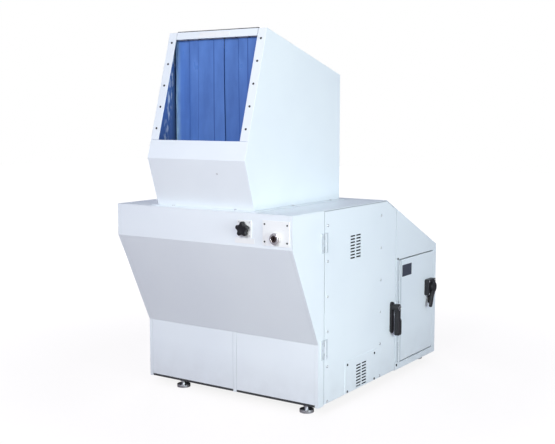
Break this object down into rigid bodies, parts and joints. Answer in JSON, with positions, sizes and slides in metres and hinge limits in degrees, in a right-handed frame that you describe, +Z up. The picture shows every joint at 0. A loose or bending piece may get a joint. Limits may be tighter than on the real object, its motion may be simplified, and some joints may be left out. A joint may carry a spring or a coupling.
{
  "type": "industrial disintegrator",
  "caption": "Free-standing industrial disintegrator: a faceted sheet-metal hopper with a strip curtain over a cabinet with a knife rotor, belt drive and bin behind hinged, latched doors.",
  "frame": {"origin": "middle of the bounding box on the floor under the levelling feet", "axes": "+Z up, -Y towards the front with the hopper mouth and the controls, +X towards the side with the doors and latches"},
  "size_m": [0.875, 1.284, 1.4616],
  "materials": {
    "white_paint": "satin",
    "dark_frame_paint": "satin",
    "grey_machine_paint": "satin",
    "zinc_steel": "satin",
    "tool_steel": "ground",
    "cast_iron": "matte",
    "galvanised": "spangled",
    "black_latch": "satin",
    "black_plastic": "satin",
    "chrome_bezel": "polished",
    "white_plate": "gloss",
    "grey_plate": "satin",
    "blue_vinyl": "glossy",
    "navy_liner": "glossy",
    "grey_rubber": "matte",
    "belt_rubber": "matte"
  },
  "bodies": {
    "cabinet": {"base_frame": "dark_frame_paint", "levelling_feet": "zinc_steel", "chamber_frame": "dark_frame_paint", "left_side_panel": "white_paint", "right_front_panel": "white_paint", "rear_side_frame": "white_paint", "front_panel": "white_paint", "lower_front_panels": "white_paint", "front_centre_strip": "white_paint", "top_deck": "white_paint", "rear_slope_cover": "white_paint", "rear_panel": "white_paint", "cable_gland": "black_plastic", "side_hinge_frame_leaves": "white_paint", "rear_hinge_frame_leaf": "white_paint", "hopper_hinge_brackets": "zinc_steel", "main_switch_plate": "white_plate", "switch_legend_plate": "white_plate", "key_switch_plate": "white_plate", "key_switch_bezel": "chrome_bezel", "chamber_side_plates": "grey_machine_paint", "chamber_cross_walls": "grey_machine_paint", "bed_knives": "tool_steel", "rotor_bearings": "cast_iron", "sizing_screen": "zinc_steel", "waste_bin": "galvanised", "electrical_box": "grey_machine_paint", "motor_body": "grey_machine_paint", "v_belts": "belt_rubber"},
    "hopper": {"hopper_left_wall": "white_paint", "hopper_right_wall": "white_paint", "hopper_top_panel": "white_paint", "hopper_lower_front": "white_paint", "hopper_back_panel": "white_paint", "hopper_base_flange": "white_paint", "hopper_hinge_arms": "zinc_steel", "top_edge_trim": "grey_rubber", "hopper_liners": "navy_liner", "curtain_rail": "zinc_steel"},
    "curtain": {"curtain_clips": "zinc_steel", "curtain_strips": "blue_vinyl"},
    "side_door": {"side_door": "white_paint", "lower_vent_plate": "white_paint", "side_hinge_door_leaves": "white_paint", "side_latch_base": "black_latch"},
    "side_latch": {"side_latch_lever": "black_latch"},
    "rear_door": {"rear_door": "white_paint", "rear_hinge_door_leaf": "white_paint", "rear_door_plate": "grey_plate", "rear_latch_base": "black_latch"},
    "rear_latch": {"rear_latch_lever": "black_latch"},
    "rotor": {"rotor_shaft": "tool_steel", "rotor_hub": "cast_iron", "fly_knives": "tool_steel", "rotor_pulley": "cast_iron", "flywheel": "cast_iron"},
    "motor_rotor": {"motor_shaft": "tool_steel", "motor_pulley": "cast_iron"},
    "main_switch": {"main_switch_knob": "black_plastic"},
    "key_switch": {"key_switch_barrel": "chrome_bezel"}
  },
  "joints": [
    {"name": "hopper_tilt", "type": "hinge", "parent": "cabinet", "child": "hopper", "pos_m": [-0.0175, 0.061, 0.792], "axis": [-1, 0, 0], "range_deg": [0, 80]},
    {"name": "curtain_swing", "type": "hinge", "parent": "hopper", "child": "curtain", "pos_m": [-0.0175, -0.484, 1.43597], "axis": [1, 0, 0], "range_deg": [-12, 45]},
    {"name": "side_door_swing", "type": "hinge", "parent": "cabinet", "child": "side_door", "pos_m": [0.408, -0.393, 0.4], "axis": [0, 0, -1], "range_deg": [0, 120]},
    {"name": "side_latch_turn", "type": "hinge", "parent": "side_door", "child": "side_latch", "pos_m": [0.4025, 0.163, 0.321], "axis": [-1, 0, 0], "range_deg": [0, 90]},
    {"name": "rear_door_swing", "type": "hinge", "parent": "cabinet", "child": "rear_door", "pos_m": [0.4065, 0.232, 0.289], "axis": [0, 0, -1], "range_deg": [0, 100]},
    {"name": "rear_latch_turn", "type": "hinge", "parent": "rear_door", "child": "rear_latch", "pos_m": [0.4025, 0.531, 0.354], "axis": [-1, 0, 0], "range_deg": [0, 90]},
    {"name": "rotor_spin", "type": "hinge", "parent": "cabinet", "child": "rotor", "pos_m": [-0.0175, -0.24, 0.56], "axis": [1, 0, 0], "continuous": true},
    {"name": "motor_spin", "type": "hinge", "parent": "cabinet", "child": "motor_rotor", "pos_m": [0.2825, 0.415, 0.23], "axis": [1, 0, 0], "continuous": true},
    {"name": "main_switch_turn", "type": "hinge", "parent": "cabinet", "child": "main_switch", "pos_m": [0.1935, -0.615, 0.724], "axis": [0, 1, 0], "range_deg": [0, 90]},
    {"name": "key_switch_turn", "type": "hinge", "parent": "cabinet", "child": "key_switch", "pos_m": [0.3325, -0.615, 0.697], "axis": [0, 1, 0], "range_deg": [0, 90]}
  ],
  "couplings": [
    {"joint": "motor_spin", "follows": "rotor_spin", "ratio": 1.9208}
  ]
}
